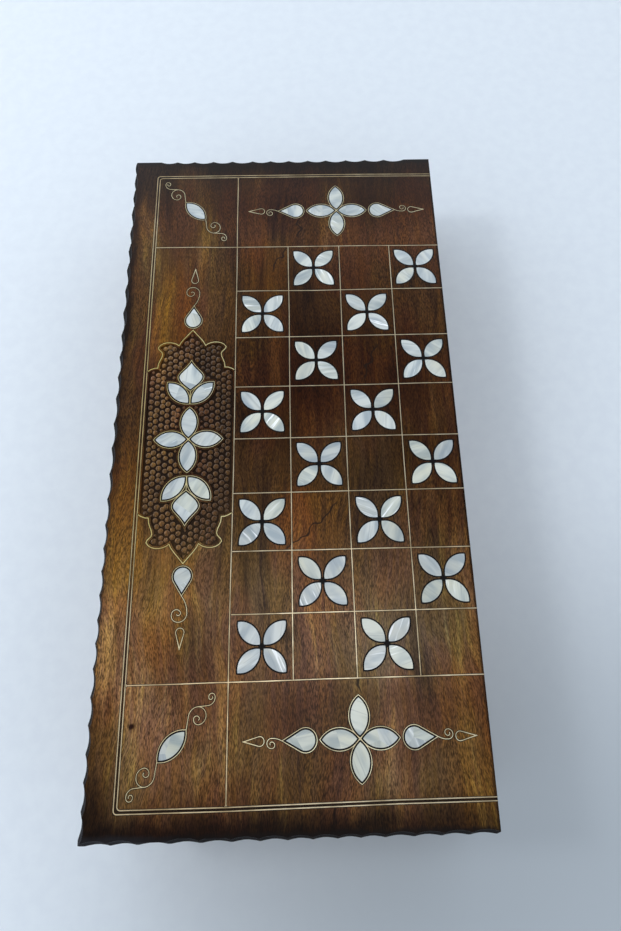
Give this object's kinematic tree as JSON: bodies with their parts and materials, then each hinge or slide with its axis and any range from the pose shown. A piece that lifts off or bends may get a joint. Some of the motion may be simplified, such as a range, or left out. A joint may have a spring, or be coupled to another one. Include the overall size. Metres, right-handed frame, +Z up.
{
  "type": "backgammon board",
  "caption": "Folding backgammon board of two hinged walnut trays. Their outer faces are inlaid with pearl and wire as a chequer board, inside a rim of gouged scoops.",
  "frame": {"origin": "middle of the closed board's underside", "axes": "+X towards the hinge, +Y along the hinge towards the far end, +Z up through the two halves"},
  "size_m": [0.252, 0.4984, 0.064],
  "materials": {
    "walnut": "shellac polished walnut, dark with golden streaks",
    "field_walnut": "satin walnut veneer",
    "rail_walnut": "satin dark walnut",
    "maple": "satin maple",
    "ebony": "satin dyed black wood",
    "pearl": "polished mother of pearl",
    "mastic": "dark filler, rubbed flush",
    "wire": "flat pale brass wire, rubbed flush",
    "hardware_brass": "turned and stamped brass"
  },
  "bodies": {
    "lower_half": {"base_plate": "walnut", "base_front_wall": "walnut", "base_hinge_wall": "walnut", "base_far_wall": "walnut", "base_near_wall": "walnut", "base_field": "field_walnut", "base_light_points": "maple", "base_dark_points": "ebony", "base_far_rail": "rail_walnut", "base_near_rail": "rail_walnut", "base_square_pearl": "pearl", "base_motif_pearl": "pearl", "base_mastic": "mastic", "base_border_wire": "wire", "base_grid_wire": "wire", "base_motif_wire": "wire", "base_cartouche_wire": "wire", "base_hinge_leaves": "hardware_brass", "hinge_pins": "hardware_brass", "base_leaf_screws": "hardware_brass", "hook_screws": "hardware_brass"},
    "upper_half": {"lid_plate": "walnut", "lid_front_wall": "walnut", "lid_hinge_wall": "walnut", "lid_far_wall": "walnut", "lid_near_wall": "walnut", "lid_field": "field_walnut", "lid_light_points": "maple", "lid_dark_points": "ebony", "lid_far_rail": "rail_walnut", "lid_near_rail": "rail_walnut", "lid_square_pearl": "pearl", "lid_motif_pearl": "pearl", "lid_mastic": "mastic", "lid_border_wire": "wire", "lid_grid_wire": "wire", "lid_motif_wire": "wire", "lid_cartouche_wire": "wire", "lid_hinge_leaves": "hardware_brass", "lid_leaf_screws": "hardware_brass", "catch_studs": "hardware_brass"},
    "hook_near": {"near_hook": "hardware_brass"},
    "hook_far": {"far_hook": "hardware_brass"}
  },
  "joints": [
    {"name": "lid_hinge", "type": "hinge", "parent": "lower_half", "child": "upper_half", "pos_m": [0.1235, 0, 0.032], "axis": [0, 1, 0], "range_deg": [0, 180]},
    {"name": "near_hook_pivot", "type": "hinge", "parent": "lower_half", "child": "hook_near", "pos_m": [-0.121, -0.1192, 0.0275], "axis": [1, 0, 0], "range_deg": [0, 180]},
    {"name": "far_hook_pivot", "type": "hinge", "parent": "lower_half", "child": "hook_far", "pos_m": [-0.121, 0.1192, 0.0275], "axis": [-1, 0, 0], "range_deg": [0, 180]}
  ]
}
